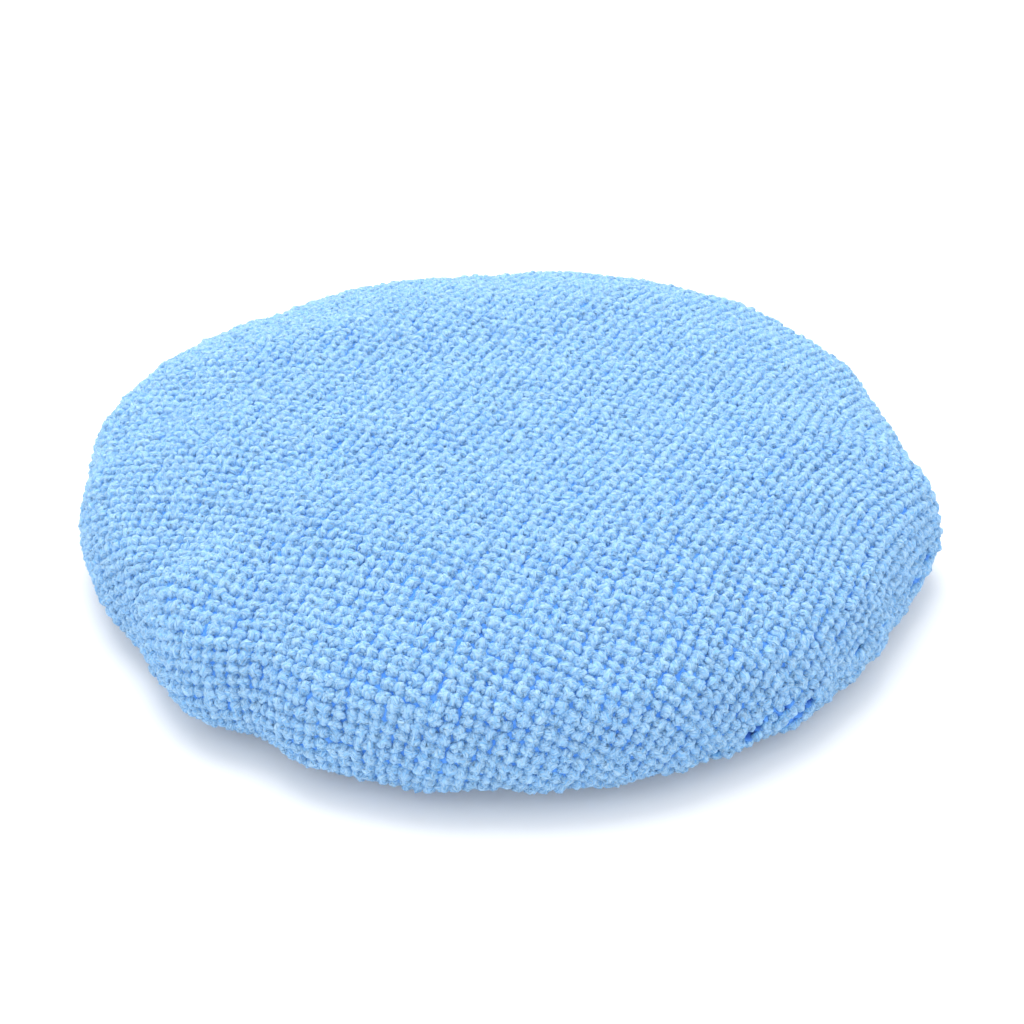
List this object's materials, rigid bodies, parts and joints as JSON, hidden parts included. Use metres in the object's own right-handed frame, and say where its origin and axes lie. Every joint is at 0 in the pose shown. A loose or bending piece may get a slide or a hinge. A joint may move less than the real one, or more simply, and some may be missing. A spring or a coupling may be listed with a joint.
{
  "type": "polishing pad",
  "caption": "Round foam polishing pad in a gathered microfibre terry cover, with an elastic hem round a recessed hook-and-loop backing.",
  "frame": {"origin": "centre of the pad, on the surface that its hem stands on", "axes": "+Z out of the working face, +X to the right and -Y towards the viewer"},
  "size_m": [0.15, 0.15, 0.0292],
  "materials": {
    "terry": "light blue looped microfibre terry, soft, matt with a faint sheen",
    "foam": "off-white open-cell foam, matt",
    "binding_tape": "mid blue woven tape, matt",
    "elastic": "white woven elastic, matt",
    "thread": "blue polyester thread, slight lustre",
    "glue": "thin set hot-melt film, satin",
    "loop_fabric": "grey brushed loop fabric, matt"
  },
  "bodies": {
    "root": {"terry_cover": "terry", "foam_core": "foam", "hem_binding": "binding_tape", "elastic_band": "elastic", "elastic_join_stitches": "thread", "hem_stitching_inner": "thread", "hem_stitching_outer": "thread", "glue_film": "glue", "loop_backing": "loop_fabric"}
  },
  "joints": []
}
